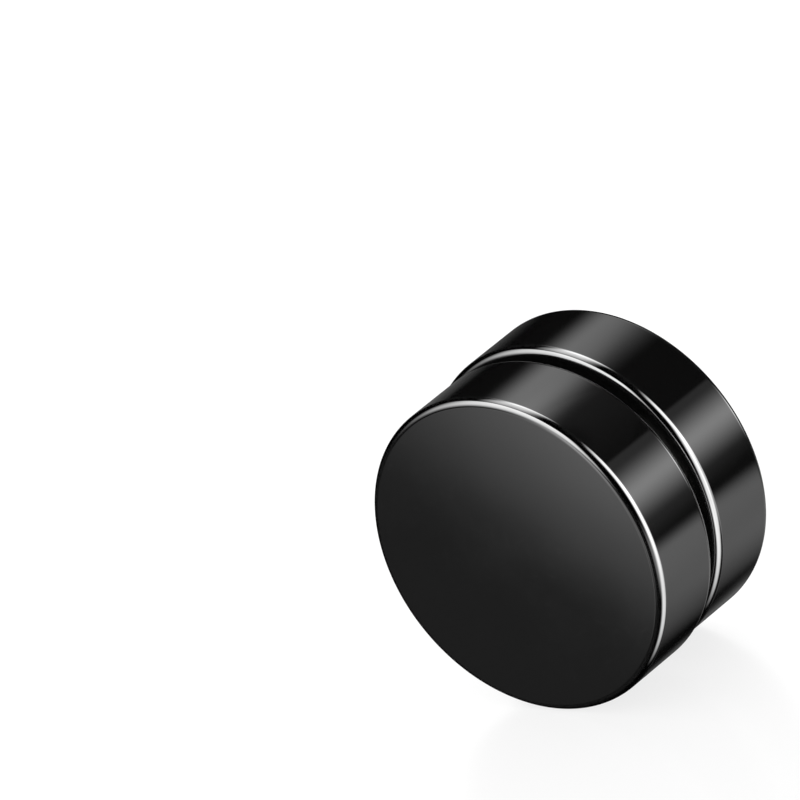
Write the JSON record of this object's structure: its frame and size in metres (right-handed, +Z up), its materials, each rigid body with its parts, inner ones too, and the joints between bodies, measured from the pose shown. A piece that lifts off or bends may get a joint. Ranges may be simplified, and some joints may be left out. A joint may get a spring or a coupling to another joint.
{
  "type": "magnetic earring",
  "caption": "Magnetic stud earring of round black-plated steel caps with flat faces and rounded edges, each with a disc magnet set in it, that grip an earlobe from both sides.",
  "frame": {"origin": "on the surface that the closed earring lies on, below the middle of the pair", "axes": "+Z up, -Y out of the front cap's face, +Y out of the back cap's face, +X to the right as the front face is looked at"},
  "size_m": [0.0082, 0.0048, 0.008],
  "materials": {
    "black_steel": "mirror-polished steel with black plating",
    "nickel": "bright nickel plate on a sintered magnet"
  },
  "bodies": {
    "front": {"front_cap": "black_steel", "front_magnet": "nickel"},
    "back": {"back_cap": "black_steel", "back_magnet": "nickel"}
  },
  "joints": [
    {"name": "back_pull", "type": "slide", "parent": "front", "child": "back", "axis": [0, 1, 0], "range_m": [0, 0.008]}
  ]
}
